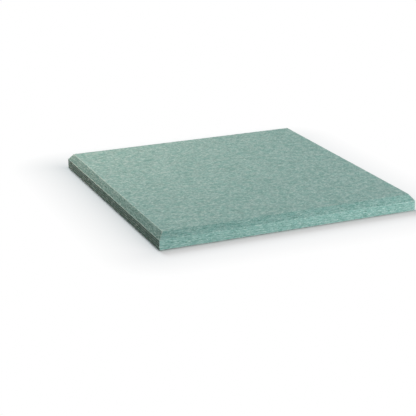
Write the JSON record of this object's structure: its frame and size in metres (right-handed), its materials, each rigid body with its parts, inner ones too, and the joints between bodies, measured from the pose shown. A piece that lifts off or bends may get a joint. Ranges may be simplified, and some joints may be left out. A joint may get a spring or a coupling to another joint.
{
  "type": "acoustic wall tile",
  "caption": "Square sound-absorbing wall tile of pressed polyester felt, with a mitred bevel round its face.",
  "frame": {"origin": "centre of the back face, which is glued to the wall", "axes": "+Z out of the wall through the tile's face; X and Y along its sides"},
  "size_m": [0.4, 0.4, 0.024],
  "materials": {
    "green_felt": "matt pressed polyester felt, sea green with paler and darker fibres"
  },
  "bodies": {
    "root": {"felt_tile": "green_felt"}
  },
  "joints": []
}
